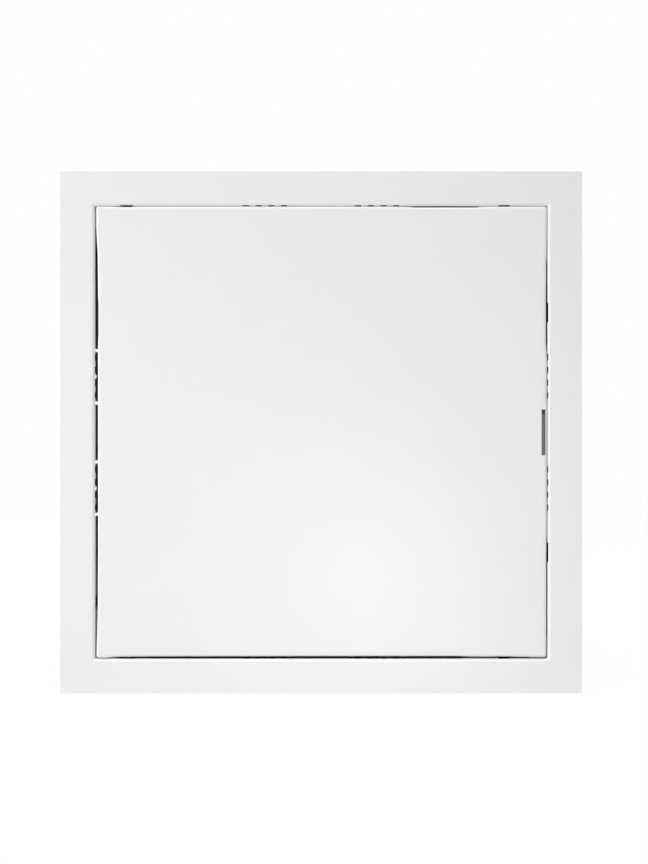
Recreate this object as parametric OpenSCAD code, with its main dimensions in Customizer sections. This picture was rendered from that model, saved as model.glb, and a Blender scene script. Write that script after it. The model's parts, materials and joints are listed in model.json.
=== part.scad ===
// Flush access panel: a square door of folded sheet steel in a flanged frame.
// X is to the right, Z is up, and Y goes into the wall. Y = 0 is the wall face, which is the rear of the
// flange. Depths named "v" are measured from the front face of the frame.

/* [Frame] */
// Clear width and height between the collar walls
opening = 302; // [280:1:400]
// Width of the flange that covers the edge of the cut-out
flange_w = 23; // [15:0.5:40]
// Depth of the collar, from the front face to its rear edge
collar_depth = 30; // [27:1:60]
// Thickness of the frame sheet
frame_sheet = 0.8; // [0.6:0.1:1.2]
// Inside radius of the bend between flange and collar
frame_inner_r = 1.4; // [0.8:0.1:2]
// Angle round the bend at which punched slots begin, counted from the flange
slot_turn = 46; // [20:1:80]
// The same on the bottom and hinge-side rails, where the slots start lower
low_slot_turn = 74; // [20:1:80]

/* [Fixing lugs] */
// Distance of each lug from the middle of its side
lug_offset = 37.5; // [30:0.5:50]
// Width of a lug between its two slits
lug_w = 33.2; // [32.5:0.1:36]
// Width of the slits beside a lug
lug_slit_w = 2.2; // [0.8:0.1:3]
// Number of slots in the bend line of a lug
lug_slots = 4; // [2:1:4]
// Distance between slots in the bend line
lug_slot_pitch = 8.5; // [6:0.1:9]
// Length of a slot along the bend line
lug_slot_len = 4.2; // [2:0.1:5]
// Depth of the rear end of the slots behind the front face
lug_slot_v = 5.4; // [3.5:0.1:8]
// Distance of the front end of the slits from the bend
lug_slit_gap = 0.4; // [0.1:0.1:2]
// Radius of the screw hole in a lug
lug_hole_r = 2.5; // [1.5:0.1:4]
// Depth of the screw hole behind the front face
lug_hole_v = 20; // [17:0.5:22]
// Depth that the slit in the middle of a lug goes down to
lug_mid_slit_v = 11; // [9:0.1:12]

/* [Keepers and stops] */
// Distance of the two latch keepers above and below the middle
keeper_offset = 80; // [76:0.5:100]
// Width of a keeper
keeper_w = 13; // [8:0.5:18]
// How far a keeper stands in from the collar
keeper_reach = 8; // [5:0.5:10]
// Distance of the door stops to the right of the middle
stop_x = 122.4; // [110:0.1:127]
// Width of a door stop
stop_w = 7.5; // [5:0.5:10]
// How far a door stop stands in from the collar
stop_reach = 8; // [5:0.5:10]
// Inside radius of the bend of keepers and stops
tab_inner_r = 0.4; // [0.2:0.1:1]
// Room between the door's rear edge and the keepers
keeper_gap = 0.3; // [0.1:0.1:1]
// Thickness of the rubber pad on a door stop
pad_t = 1; // [0.5:0.1:2]
// Room between the door's rear edge and the pads
pad_gap = 0.2; // [0.1:0.1:1]

/* [Sealing tape] */
// Thickness of the foam tape round the outside of the collar
tape_t = 1.2; // [0.8:0.1:1.4]
// Width of the tape
tape_w = 12.4; // [10:0.1:16]
// Width of the tape where it only backs the slots of a lug
tape_narrow_w = 3.8; // [3:0.1:6]
// Distance of the tape's front edge from the bend
tape_gap = 0.2; // [0.1:0.1:1]
// Room between the tape's cut ends and the bush retainers or slits
tape_end_gap = 0.4; // [0.2:0.1:2]

/* [Door seal] */
// Thickness of the foam seal on the inside of the collar
seal_t = 1.3; // [0.8:0.1:1.4]
// Depth of the seal from front to rear
seal_w = 4; // [2:0.1:4]
// Room between the door's rear edge and the seal
seal_gap = 0.3; // [0.1:0.1:1]
// Room between the seal's cut ends and the keepers and stops
seal_end_gap = 0.6; // [0.3:0.1:2]
// Room beside the pivots that the door's hinge edge swings through, with no seal in it
seal_swing = 13; // [12:0.5:20]
// Thickness of the seal on the hinge side, which also covers the gap there
hinge_seal_t = 2.5; // [2:0.1:3]
// Depth of its front edge behind the front face, behind the swing of the door's hinge edge
hinge_seal_v = 17; // [16.5:0.1:19]

/* [Screw slots] */
// Distance of the hinge-side screw slots above and below the middle
screw_slot_offset = 115; // [80:0.5:125]
// Length of a screw slot
screw_slot_len = 13; // [8:0.5:20]
// Width of a screw slot
screw_slot_w = 4.4; // [3:0.1:6]
// Depth of the middle of a screw slot behind the front face
screw_slot_v = 6.2; // [5.5:0.1:12]

/* [Door] */
// Gap between door and frame on the hinge side
gap_hinge = 1.9; // [1.3:0.1:3]
// Gap on the latch side
gap_latch = 0.7; // [0.6:0.1:2.5]
// Gap along the top
gap_top = 0.6; // [0.5:0.1:2]
// Gap along the bottom
gap_bottom = 1.4; // [0.6:0.1:2.5]
// Thickness of the door sheet
door_sheet = 0.8; // [0.6:0.1:1.2]
// Depth of the folded edge of the door
door_depth = 12; // [11.6:0.1:16]
// Inside radius of the door's folded edge
door_inner_r = 0.8; // [0.4:0.1:1.4]
// Width of the latch slot in the door's face
latch_slot_w = 2.5; // [1.5:0.1:4]
// Height of the latch slot
latch_slot_h = 30.6; // [20:0.2:40]

/* [Pivots] */
// Distance of the pivot line from the collar on the hinge side
pivot_inset = 21; // [19:0.5:25]
// Radius of the pivot pins
pin_r = 2.5; // [2:0.1:2.8]
// Running clearance of a pin in its bush, on the radius
pin_run = 0.05; // [0.02:0.01:0.1]
// Clearance of a pin in the holes of the sheet parts, on the radius
pin_hole_clear = 0.15; // [0.05:0.05:0.3]
// Wall of a bush around its pin
bush_wall = 0.95; // [0.7:0.05:1.3]
// Radius of a bush's inner rim
bush_rim_r = 4.5; // [4.2:0.1:5]
// Room between the rim of a bush and the door
bush_end_gap = 0.2; // [0.1:0.05:0.3]
// Width of the slot in the bend in front of a bush
bush_slot_w = 9; // [5:0.5:12]
// Length of a bush outside the collar
bush_tail = 3.2; // [2:0.1:6]
// Clearance of a bush in the collar's hole, on the radius
bush_fit = 0.02; // [0:0.01:0.1]
// Width of the ring of a bush retainer
retainer_ring = 0.7; // [0.5:0.1:1]
// Room between a bush retainer and the bend of the frame
retainer_gap = 0.1; // [0.05:0.05:0.5]
// Thickness of a bush retainer
retainer_t = 0.6; // [0.4:0.1:1]
// How far a pin's tip passes the end of its bush
pin_tip_out = 1; // [0.5:0.1:3]
// Length of the tapered lead-in at a pin's tip
pin_lead = 1; // [0.5:0.1:1.5]
// Radius of a pin's tip
pin_tip_r = 1.9; // [1:0.1:1.9]
// How far a drawn pin sinks below the door's top edge
pin_sink = 0.2; // [0.1:0.1:1]

/* [Pivot hardware] */
// Thickness of the pivot brackets
bracket_t = 1.2; // [0.8:0.1:2]
// Inside radius of the bend of a pivot bracket
bracket_inner_r = 0.8; // [0.4:0.1:1.5]
// Width of a pivot bracket
bracket_w = 22; // [21:0.5:26]
// Length of a bracket's foot along the door
bracket_foot = 25; // [24:0.5:32]
// Depth of the rear edge of a bracket's shelf behind the front face
bracket_reach = 11.4; // [10:0.1:11.6]
// Height of the door's lower edge below the shelf of the lower bracket
lower_shelf_rise = 8.4; // [6:0.1:14]
// Radius of the lower pin's head
pin_head_r = 4; // [3.5:0.1:4.5]
// Thickness of the lower pin's head
pin_head_t = 1.5; // [1:0.1:3]
// Distance from the door's top edge to the underside of the pin clip
clip_drop = 11.2; // [9:0.1:16]
// Thickness of the pin clip
clip_t = 0.8; // [0.5:0.1:1]
// Outer radius of the pin clip
clip_r = 4.6; // [4:0.1:5]
// Depth of the pin's groove for the clip
groove_deep = 0.5; // [0.3:0.1:0.7]
// Room between the clip and the sides and bottom of its groove
groove_clear = 0.05; // [0.02:0.01:0.1]
// Thickness of the washer between clip and spring
spring_washer_t = 0.8; // [0.5:0.1:1.2]
// Length of the pin spring at rest
spring_len = 19; // [16:0.5:26]
// Wire thickness of the pin spring
spring_wire = 0.8; // [0.6:0.1:0.9]
// Number of turns of the pin spring
spring_turns = 8; // [5:1:9]
// Room between the spring and the pin
spring_clear = 0.5; // [0.3:0.1:0.7]
// Radius of the pull handle's bend, on the pin's middle line
handle_bend_r = 4; // [3.5:0.1:6]
// Straight length of the pull handle
handle_len = 15; // [8:0.5:22]
// Room between the pull handle's bend and the bracket
handle_gap = 0.3; // [0.1:0.1:1]

/* [Studs and nuts] */
// Radius of the weld studs
stud_r = 2; // [1.5:0.1:2.1]
// Distance between the two studs of a bracket
bracket_stud_pitch = 11; // [9:0.5:13]
// Distance of a bracket's studs from the end of its foot
bracket_stud_edge = 5; // [4.5:0.1:6]
// Clearance of a stud in a bracket's hole, on the radius
stud_hole_clear = 0.2; // [0.1:0.05:0.3]
// Width of a nut across its flats
nut_af = 7; // [6:0.1:8]
// Thickness of a nut
nut_t = 3.2; // [2:0.1:4]
// Clearance of a nut on its stud, on the radius
nut_fit = 0.03; // [0.01:0.01:0.1]
// Length of a stud beyond its nut
stud_out = 0.9; // [0.3:0.1:2]

/* [Latch] */
// Thickness of the sliding latch strip
slider_t = 1; // [0.8:0.1:1.2]
// Width of the latch strip
slider_w = 16; // [14:0.5:20]
// Travel of the latch strip from open to locked
slider_travel = 10; // [6:0.5:11]
// Room between the latch strip and the sheet beside and in front of it
slider_clear = 0.25; // [0.1:0.05:0.5]
// Inside radius of the bend of the latch arms
arm_inner_r = 0.5; // [0.3:0.1:1]
// Width of a latch arm
arm_w = 6.8; // [5:0.1:9]
// Height of a latch hook from front to rear
hook_deep = 3; // [2:0.1:5]
// Room between hook and keeper when the latch is open
hook_gap = 0.7; // [0.4:0.1:1.5]
// Room between hook and keeper when the latch is locked
hook_behind = 0.4; // [0.2:0.1:1]
// Height of the tool notch in the strip
notch_h = 2.6; // [1.5:0.1:5]
// Width of the tool notch in the strip
notch_w = 3; // [2:0.1:5]
// Distance of the tool notch from the top of the latch slot
notch_drop = 0.4; // [0:0.1:4]
// Room between the tool insert and the notch that it sits in
insert_fit = 0.05; // [0.02:0.01:0.1]
// Distance of the insert's face behind the face of the strip
insert_sink = 0.2; // [0:0.1:0.5]
// How far the insert's rear flange laps the strip
insert_lap = 1.5; // [0.8:0.1:3]
// Thickness of the insert's rear flange
insert_flange_t = 1; // [0.6:0.1:2]
// Radius of the tool hole in the insert
insert_hole_r = 0.8; // [0.5:0.1:1]
// Height of the upper stud that carries the strip
upper_stud_z = 58; // [40:1:70]
// Height of the lower stud that carries the strip
lower_stud_z = -38; // [-45:1:-30]
// Distance of these studs from the strip's inner edge
latch_stud_inset = 6.4; // [6:0.1:8]
// Radius of the shoulder of these studs
shoulder_r = 2.8; // [2.5:0.1:3.2]
// Clearance of the shoulder in the strip's slots, on the radius
shoulder_clear = 0.1; // [0.05:0.05:0.3]
// Radius of the washers that hold the strip
latch_washer_r = 5.5; // [4.5:0.1:6.5]
// Thickness of these washers
latch_washer_t = 0.8; // [0.5:0.1:1.2]

/* [Hidden] */

$fn = 48;
// How far a cutting shape passes the sheet that it cuts
over = 1;

half_open = opening / 2;
half_out = half_open + flange_w;
collar_out = half_open + frame_sheet;
frame_bend_r = frame_sheet + frame_inner_r;
tab_bend_r = frame_sheet + tab_inner_r;
lug_slit_v = frame_bend_r + lug_slit_gap;

door_left = -half_open + gap_hinge;
door_right = half_open - gap_latch;
door_top = half_open - gap_top;
door_bottom = -half_open + gap_bottom;
door_bend_r = door_sheet + door_inner_r;
latch_side = door_right - door_sheet;

keeper_v = door_depth + keeper_gap;
stop_v = door_depth + pad_gap + pad_t;

pivot_x = -half_open + pivot_inset;
bush_bore_r = pin_r + pin_run;
bush_body_r = bush_bore_r + bush_wall;
retainer_r = bush_body_r + retainer_ring;
pivot_v = frame_bend_r + retainer_gap + retainer_r;
pin_tip = collar_out + bush_tail + pin_tip_out;
pin_travel = pin_tip - door_top + pin_sink;
clip_z = door_top - clip_drop;
groove_r = pin_r - groove_deep;
upper_shelf = clip_z - spring_washer_t - spring_len;
lower_shelf = -door_bottom - lower_shelf_rise;
bracket_bend_r = bracket_t + bracket_inner_r;
handle_z = upper_shelf - bracket_t - handle_gap;
spring_r = pin_r + spring_clear + spring_wire / 2;

slider_v = door_sheet + slider_clear;
slider_right = latch_side - slider_clear;
slider_left = slider_right - slider_w;
arm_bend_r = slider_t + arm_inner_r;
hook_v = keeper_v + frame_sheet + hook_behind;
latch_stud_x = slider_left + latch_stud_inset;
latch_stud_z = [upper_stud_z, lower_stud_z];
shoulder_v = slider_v + slider_t + slider_clear;
notch_left = slider_right - notch_w;
notch_bottom = latch_slot_h / 2 - notch_drop - notch_h;

enamel = [0.93, 0.93, 0.92];
zinc = [0.62, 0.63, 0.64];
nylon = [0.08, 0.08, 0.08];

// Height of the lower edge of the upper (side = 1) or lower (side = -1) hook
function hook_bottom(side) = side * keeper_offset + keeper_w / 2 + hook_gap;

// Height of the lower edge of a latch arm, just above its hook
function arm_bottom(side) = hook_bottom(side) + slider_travel;

// Raises an outline drawn in x and v from height z0 to z1
module upright(z0, z1)
    translate([0, -frame_sheet, z0])
        linear_extrude(z1 - z0)
            children();

// Draws out an outline given in z and v from x0 to x1
module crosswise(x0, x1)
    translate([x1, -frame_sheet, 0])
        rotate([0, -90, 0])
            linear_extrude(x1 - x0)
                children();

// Sinks an outline drawn in x and z from depth v0 to v1
module inward(v0, v1)
    translate([0, v1 - frame_sheet, 0])
        rotate([90, 0, 0])
            linear_extrude(v1 - v0)
                children();

// Quarter of a bent sheet, round its own middle, in the quadrant given by two signs
module bend(inner_r, sheet, sign_a, sign_b)
    intersection() {
        difference() {
            circle(inner_r + sheet);
            circle(inner_r);
        }
        quadrant(inner_r + sheet, sign_a, sign_b);
    }

// Square of side r in the quadrant given by two signs
module quadrant(r, sign_a, sign_b)
    translate([sign_a > 0 ? 0 : -r, sign_b > 0 ? 0 : -r])
        square(r);

// Turns a shape made for the top rail to another side: 1 latch side, 2 bottom, 3 hinge side
module to_side(turns)
    rotate([0, 90 * turns, 0])
        children();

// Section of a rail: flange, bend and collar, with the distance from the middle first and v second
module rail_section() {
    translate([half_open + frame_bend_r, 0])
        square([flange_w - frame_bend_r, frame_sheet]);
    translate([half_open + frame_bend_r, frame_bend_r])
        bend(frame_inner_r, frame_sheet, -1, -1);
    translate([half_open, frame_bend_r])
        square([frame_sheet, collar_depth - frame_bend_r]);
}

// Plain top rail with mitred ends
module rail_blank()
    intersection() {
        crosswise(-half_out, half_out)
            rail_section();
        inward(-over, collar_depth + over)
            polygon([[0, 0], [half_out + over, half_out + over], [-half_out - over, half_out + over]]);
    }

// Rectangular cut through the top collar, centred at x
module collar_cut(x, w, v0, v1)
    translate([x - w / 2, v0 - frame_sheet, half_open - over])
        cube([w, v1 - v0, frame_sheet + 2 * over]);

// Round cut through the top collar
module collar_hole(x, v, r)
    translate([x, v - frame_sheet, half_open - over])
        cylinder(r = r, h = frame_sheet + 2 * over);

// Slot of width w, punched through the bend and down the top collar to depth v
module bend_slot(x, w, v, turn) {
    middle = [half_open + frame_bend_r, frame_bend_r];
    outward = [-sin(turn), -cos(turn)];
    start = middle + (frame_bend_r + over) * outward;
    crosswise(x - w / 2, x + w / 2)
        polygon([
            middle + frame_inner_r * outward / 2,
            start,
            [half_open - over, start.y],
            [half_open - over, v],
            [collar_out + over, v]
        ]);
}

// Cuts that free one lug: a slotted bend line, two side slits, a short middle slit and a screw hole
module lug_cuts(x, turn) {
    for (i = [0 : lug_slots - 1])
        bend_slot(x + (i - (lug_slots - 1) / 2) * lug_slot_pitch, lug_slot_len, lug_slot_v, turn);
    for (side = [-1, 1])
        collar_cut(x + side * (lug_w + lug_slit_w) / 2, lug_slit_w, lug_slit_v, collar_depth + over);
    collar_hole(x, lug_hole_v, lug_hole_r);
    collar_cut(x, lug_slit_w, lug_slit_v, lug_mid_slit_v);
}

// The tab itself, with its front face at depth v
module bent_tab(x, w, reach, v)
    crosswise(x - w / 2, x + w / 2) {
        translate([half_open - reach, v])
            square([reach + frame_sheet - tab_bend_r, frame_sheet]);
        translate([collar_out - tab_bend_r, v + tab_bend_r])
            bend(tab_inner_r, frame_sheet, 1, -1);
    }

// Top rail with its two lugs
module lugged_rail(turn)
    difference() {
        rail_blank();
        for (side = [-1, 1])
            lug_cuts(side * lug_offset, turn);
    }

// Rail with a door stop at stop_at and a bush hole at bush_at, as along the top and the bottom
module pivot_rail(stop_at, bush_at, turn) {
    difference() {
        lugged_rail(turn);
        bend_slot(stop_at, stop_w, stop_v + tab_bend_r, turn);
        collar_hole(bush_at, pivot_v, bush_body_r + bush_fit);
        bend_slot(bush_at, bush_slot_w, pivot_v - bush_body_r / 2, turn);
    }
    bent_tab(stop_at, stop_w, stop_reach, stop_v);
}

module frame_top_rail()
    color(enamel)
        pivot_rail(stop_x, pivot_x, slot_turn);

module frame_bottom_rail()
    color(enamel)
        to_side(2)
            pivot_rail(-stop_x, -pivot_x, low_slot_turn);

module frame_hinge_rail()
    color(enamel)
        to_side(3)
            difference() {
                lugged_rail(low_slot_turn);
                for (side = [-1, 1]) {
                    straight = screw_slot_len - screw_slot_w;
                    collar_cut(side * screw_slot_offset, straight,
                               screw_slot_v - screw_slot_w / 2, screw_slot_v + screw_slot_w / 2);
                    for (end = [-1, 1])
                        collar_hole(side * screw_slot_offset + end * straight / 2,
                                    screw_slot_v, screw_slot_w / 2);
                }
            }

module frame_latch_rail()
    color(enamel)
        to_side(1) {
            difference() {
                lugged_rail(slot_turn);
                for (side = [-1, 1])
                    bend_slot(side * keeper_offset, keeper_w, keeper_v + tab_bend_r, slot_turn);
            }
            for (side = [-1, 1])
                bent_tab(side * keeper_offset, keeper_w, keeper_reach, keeper_v);
        }

// One length of tape of width w on the top collar, from x0 to x1
module tape_length(x0, x1, w)
    translate([x0, frame_bend_r + tape_gap - frame_sheet, collar_out])
        cube([x1 - x0, w, tape_t]);

// Black foam tape that backs the slots: cut short at the bushes, and narrow at the hinge side's lugs
module seal_tape()
    color(nylon) {
        bush_room = retainer_r + tape_end_gap;
        narrow = lug_w / 2 - tape_end_gap;
        wide = lug_w / 2 + lug_slit_w + tape_end_gap;
        middle = lug_slit_w / 2 + tape_end_gap;
        for (side = [0, 1])
            mirror([0, 0, side]) {
                tape_length(-collar_out - tape_t, pivot_x - bush_room, tape_w);
                tape_length(pivot_x + bush_room, collar_out + tape_t, tape_w);
            }
        end = collar_out - tape_end_gap;
        to_side(1)
            tape_length(-end, end, tape_w);
        to_side(3) {
            tape_length(-end, -lug_offset - wide, tape_w);
            tape_length(wide - lug_offset, lug_offset - wide, tape_w);
            tape_length(lug_offset + wide, end, tape_w);
            for (x = [-lug_offset, lug_offset]) {
                tape_length(x - narrow, x - middle, tape_narrow_w);
                tape_length(x + middle, x + narrow, tape_narrow_w);
            }
        }
    }

// One length of seal on the inside of the top collar, from x0 to x1: its front edge at depth v, thickness t
module seal_length(x0, x1, v = door_depth + seal_gap, t = seal_t)
    translate([x0, v - frame_sheet, half_open - t])
        cube([x1 - x0, seal_w, t]);

// Black foam seal behind the door's edge, deeper on the hinge side: cut short at the keepers and at the stops
module door_seal()
    color(nylon) {
        stop_room = stop_w / 2 + seal_end_gap;
        keeper_room = keeper_w / 2 + seal_end_gap;
        end = half_open - seal_t - seal_end_gap;
        for (side = [0, 1])
            mirror([0, 0, side]) {
                seal_length(pivot_x + seal_swing, stop_x - stop_room);
                seal_length(stop_x + stop_room, half_open);
            }
        to_side(3)
            seal_length(-half_open, half_open, hinge_seal_v, hinge_seal_t);
        to_side(1) {
            seal_length(-end, -keeper_offset - keeper_room);
            seal_length(keeper_room - keeper_offset, keeper_offset - keeper_room);
            seal_length(keeper_offset + keeper_room, end);
        }
    }

// Rubber pads stuck to the front of the two door stops
module stop_pads()
    color(nylon)
        for (side = [0, 1])
            mirror([0, 0, side])
                translate([stop_x - stop_w / 2, stop_v - pad_t - frame_sheet, half_open - stop_reach])
                    cube([stop_w, pad_t, stop_reach - tab_inner_r]);

// Flanged bush in the top collar, with a rim of the given thickness on the door's side
module pivot_bush(rim_t)
    translate([pivot_x, pivot_v - frame_sheet, half_open])
        difference() {
            union() {
                translate([0, 0, -rim_t])
                    cylinder(r = bush_rim_r, h = rim_t);
                translate([0, 0, -rim_t])
                    cylinder(r = bush_body_r, h = rim_t + frame_sheet + bush_tail);
            }
            translate([0, 0, -rim_t - over])
                cylinder(r = bush_bore_r, h = rim_t + frame_sheet + bush_tail + 2 * over);
        }

module upper_pivot_bush()
    color(nylon)
        pivot_bush(gap_top - bush_end_gap);

module lower_pivot_bush()
    color(nylon)
        mirror([0, 0, 1])
            pivot_bush(gap_bottom - bush_end_gap);

// Push-on rings that hold the bushes from outside the collar
module bush_retainers()
    color(zinc)
        for (side = [0, 1])
            mirror([0, 0, side])
                translate([pivot_x, pivot_v - frame_sheet, collar_out])
                    difference() {
                        cylinder(r = retainer_r, h = retainer_t);
                        translate([0, 0, -over])
                            cylinder(r = bush_body_r + bush_fit, h = retainer_t + 2 * over);
                        for (i = [0 : 2])
                            rotate([0, 0, 120 * i])
                                translate([0, -retainer_t / 2, -over])
                                    cube([bush_body_r + retainer_ring / 2, retainer_t,
                                          retainer_t + 2 * over]);
                    }

// Outline of a tray from a to b with rounded front corners, open to the depth given
module tray_outline(a, b, front, rear, r) {
    translate([a + r, front])
        square([b - a - 2 * r, rear - front]);
    translate([a, front + r])
        square([b - a, rear - front - r]);
    for (corner = [a + r, b - r])
        translate([corner, front + r])
            circle(r);
}

// Solid block with the shape of the door, drawn in by inset on its four sides and its front
module door_block(inset, rear)
    intersection() {
        upright(door_bottom + inset, door_top - inset)
            tray_outline(door_left + inset, door_right - inset, inset, rear, door_bend_r - inset);
        crosswise(door_left + inset, door_right - inset)
            tray_outline(door_bottom + inset, door_top - inset, inset, rear, door_bend_r - inset);
    }

module door_panel()
    color(enamel)
        difference() {
            door_block(0, door_depth);
            door_block(door_sheet, door_depth + over);
            inward(-over, door_bend_r)
                translate([latch_side - latch_slot_w, -latch_slot_h / 2])
                    square([latch_slot_w, latch_slot_h]);
            translate([pivot_x, pivot_v - frame_sheet, door_bottom - over])
                cylinder(r = pin_r + pin_hole_clear, h = door_top - door_bottom + 2 * over);
        }

// Angle bracket of a pivot, with its shelf at height shelf and its foot on the back of the door
module pivot_bracket(shelf)
    difference() {
        crosswise(pivot_x - bracket_w / 2, pivot_x + bracket_w / 2) {
            translate([shelf - bracket_foot, door_sheet])
                square([bracket_foot - bracket_bend_r, bracket_t]);
            translate([shelf - bracket_bend_r, door_sheet + bracket_bend_r])
                bend(bracket_inner_r, bracket_t, 1, -1);
            translate([shelf - bracket_t, door_sheet + bracket_bend_r])
                square([bracket_t, bracket_reach - door_sheet - bracket_bend_r]);
        }
        translate([pivot_x, pivot_v - frame_sheet, shelf - bracket_t - over])
            cylinder(r = pin_r + pin_hole_clear, h = bracket_t + 2 * over);
        at_bracket_studs(shelf)
            cylinder(r = stud_r + stud_hole_clear, h = bracket_t + over);
    }

// Puts a shape that stands on the door's back, along its own z axis, at the studs of one bracket
module at_bracket_studs(shelf)
    for (side = [-1, 1])
        on_door(pivot_x + side * bracket_stud_pitch / 2, shelf - bracket_foot + bracket_stud_edge)
            children();

// Stands a shape on the door's back at x and z, with its own z axis pointing into the wall
module on_door(x, z)
    translate([x, door_sheet - frame_sheet, z])
        rotate([-90, 0, 0])
            children();

// Puts a shape that is made for the upper bracket at the upper and the lower one
module at_brackets() {
    at_bracket_studs(upper_shelf)
        children();
    mirror([0, 0, 1])
        at_bracket_studs(lower_shelf)
            children();
}

module upper_pivot_bracket()
    color(zinc)
        pivot_bracket(upper_shelf);

module lower_pivot_bracket()
    color(zinc)
        mirror([0, 0, 1])
            pivot_bracket(lower_shelf);

// Hexagonal nut on a stud, from height h0 up
module nut(h0)
    translate([0, 0, h0])
        difference() {
            cylinder(d = nut_af / cos(30), h = nut_t, $fn = 6);
            translate([0, 0, -over])
                cylinder(r = stud_r + nut_fit, h = nut_t + 2 * over);
        }

module bracket_studs()
    color(zinc)
        at_brackets()
            cylinder(r = stud_r, h = bracket_t + nut_t + stud_out);

module bracket_nuts()
    color(zinc)
        at_brackets()
            nut(bracket_t);

// Headed pin through the lower bracket, the door's lower edge and the lower bush
module lower_pivot_pin()
    color(zinc)
        translate([pivot_x, pivot_v - frame_sheet, 0])
            mirror([0, 0, 1]) {
                head_z = lower_shelf - bracket_t;
                translate([0, 0, head_z - pin_head_t])
                    cylinder(r = pin_head_r, h = pin_head_t);
                translate([0, 0, head_z])
                    cylinder(r = pin_r, h = pin_tip - pin_lead - head_z);
                pin_lead_in();
            }

// Tapered tip of a pin
module pin_lead_in()
    translate([0, 0, pin_tip - pin_lead])
        cylinder(r1 = pin_r, r2 = pin_tip_r, h = pin_lead);

// Sprung pin of the upper pivot, grooved for its clip and bent to a pull handle below the bracket
module upper_pivot_pin()
    color(zinc)
        translate([pivot_x, pivot_v - frame_sheet, 0]) {
            difference() {
                translate([0, 0, handle_z])
                    cylinder(r = pin_r, h = pin_tip - pin_lead - handle_z);
                translate([0, 0, clip_z - groove_clear])
                    difference() {
                        cylinder(r = pin_r + over, h = clip_t + 2 * groove_clear);
                        cylinder(r = groove_r, h = clip_t + 2 * groove_clear);
                    }
            }
            pin_lead_in();
            translate([handle_bend_r, 0, handle_z])
                rotate([90, 0, 0])
                    rotate([0, 0, 180])
                        rotate_extrude(angle = 90)
                            translate([handle_bend_r, 0])
                                circle(pin_r);
            translate([handle_bend_r, 0, handle_z - handle_bend_r])
                rotate([0, 90, 0])
                    cylinder(r = pin_r, h = handle_len);
        }

// Open clip in the pin's groove
module pin_clip()
    color(zinc)
        translate([pivot_x, pivot_v - frame_sheet, clip_z])
            difference() {
                cylinder(r = clip_r, h = clip_t);
                translate([0, 0, -over])
                    cylinder(r = groove_r + groove_clear, h = clip_t + 2 * over);
                translate([-groove_r, 0, -over])
                    cube([2 * groove_r, clip_r + over, clip_t + 2 * over]);
            }

module spring_washer()
    color(zinc)
        translate([pivot_x, pivot_v - frame_sheet, clip_z - spring_washer_t])
            difference() {
                cylinder(r = clip_r, h = spring_washer_t);
                translate([0, 0, -over])
                    cylinder(r = pin_r + pin_hole_clear, h = spring_washer_t + 2 * over);
            }

// Coil spring between bracket and washer, with one closed turn at each end
module pin_spring() {
    sides = 8;
    turn_steps = 18;
    steps = spring_turns * turn_steps;
    open_pitch = (spring_len - 3 * spring_wire) / (spring_turns - 2);
    function rise(turn) =
        turn < 1 ? turn * spring_wire :
        turn > spring_turns - 1 ? spring_len - spring_wire - (spring_turns - turn) * spring_wire :
        spring_wire + (turn - 1) * open_pitch;
    points = [
        for (i = [0 : steps])
            let (turn = i / turn_steps)
            for (j = [0 : sides - 1])
                let (r = spring_r + spring_wire / 2 * cos(360 * j / sides))
                [r * cos(360 * turn), r * sin(360 * turn),
                 rise(turn) + spring_wire / 2 * (1 + sin(360 * j / sides))]
    ];
    skin = [
        for (i = [0 : steps - 1])
            for (j = [0 : sides - 1])
                let (k = (j + 1) % sides, a = i * sides, b = a + sides)
                for (f = [[a + j, b + j, b + k], [a + j, b + k, a + k]])
                    f
    ];
    ends = [
        [for (j = [0 : sides - 1]) j],
        [for (j = [sides - 1 : -1 : 0]) steps * sides + j]
    ];
    color(zinc)
        translate([pivot_x, pivot_v - frame_sheet, upper_shelf])
            polyhedron(points, concat(skin, ends));
}

// Flat strip of the latch, with its bent arms, hooks, tool notch and two slots
module latch_slider()
    color(zinc) {
        difference() {
            inward(slider_v, slider_v + slider_t)
                translate([slider_left, arm_bottom(-1)])
                    square([slider_w, arm_bottom(1) + arm_w - arm_bottom(-1)]);
            for (side = [-1, 1])
                inward(slider_v - over, slider_v + slider_t + over)
                    translate([slider_right - arm_bend_r, arm_bottom(side)])
                        square([arm_bend_r + over, arm_w]);
            inward(slider_v - over, slider_v + slider_t + over)
                translate([notch_left, notch_bottom])
                    square([notch_w + over, notch_h]);
            for (z = latch_stud_z)
                inward(slider_v - over, slider_v + slider_t + over)
                    translate([latch_stud_x, z])
                        travel_slot(shoulder_r + shoulder_clear);
        }
        for (side = [-1, 1]) {
            upright(arm_bottom(side), arm_bottom(side) + arm_w) {
                translate([slider_right - arm_bend_r, slider_v + arm_bend_r])
                    bend(arm_inner_r, slider_t, 1, -1);
                translate([slider_right - slider_t, slider_v + arm_bend_r])
                    square([slider_t, hook_v + hook_deep - slider_v - arm_bend_r]);
            }
            upright(hook_bottom(side), arm_bottom(side))
                translate([slider_right - slider_t, hook_v])
                    square([slider_t, hook_deep]);
        }
    }

// Black insert in the strip's notch, with a hole for the tool and a flange behind the strip
module tool_insert()
    color(nylon)
        difference() {
            union() {
                inward(slider_v + insert_sink, slider_v + slider_t)
                    translate([notch_left + insert_fit, notch_bottom + insert_fit])
                        square([notch_w - 2 * insert_fit, notch_h - 2 * insert_fit]);
                inward(slider_v + slider_t, slider_v + slider_t + insert_flange_t)
                    translate([notch_left - insert_lap, notch_bottom - insert_lap])
                        square([notch_w + insert_lap - insert_fit, notch_h + 2 * insert_lap]);
            }
            inward(slider_v, slider_v + slider_t + insert_flange_t / 2)
                translate([notch_left + notch_w / 2, notch_bottom + notch_h / 2])
                    circle(insert_hole_r);
        }

// Slot with round ends, as long as the strip travels
module travel_slot(r) {
    translate([-r, 0])
        square([2 * r, slider_travel]);
    for (z = [0, slider_travel])
        translate([0, z])
            circle(r);
}

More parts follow.
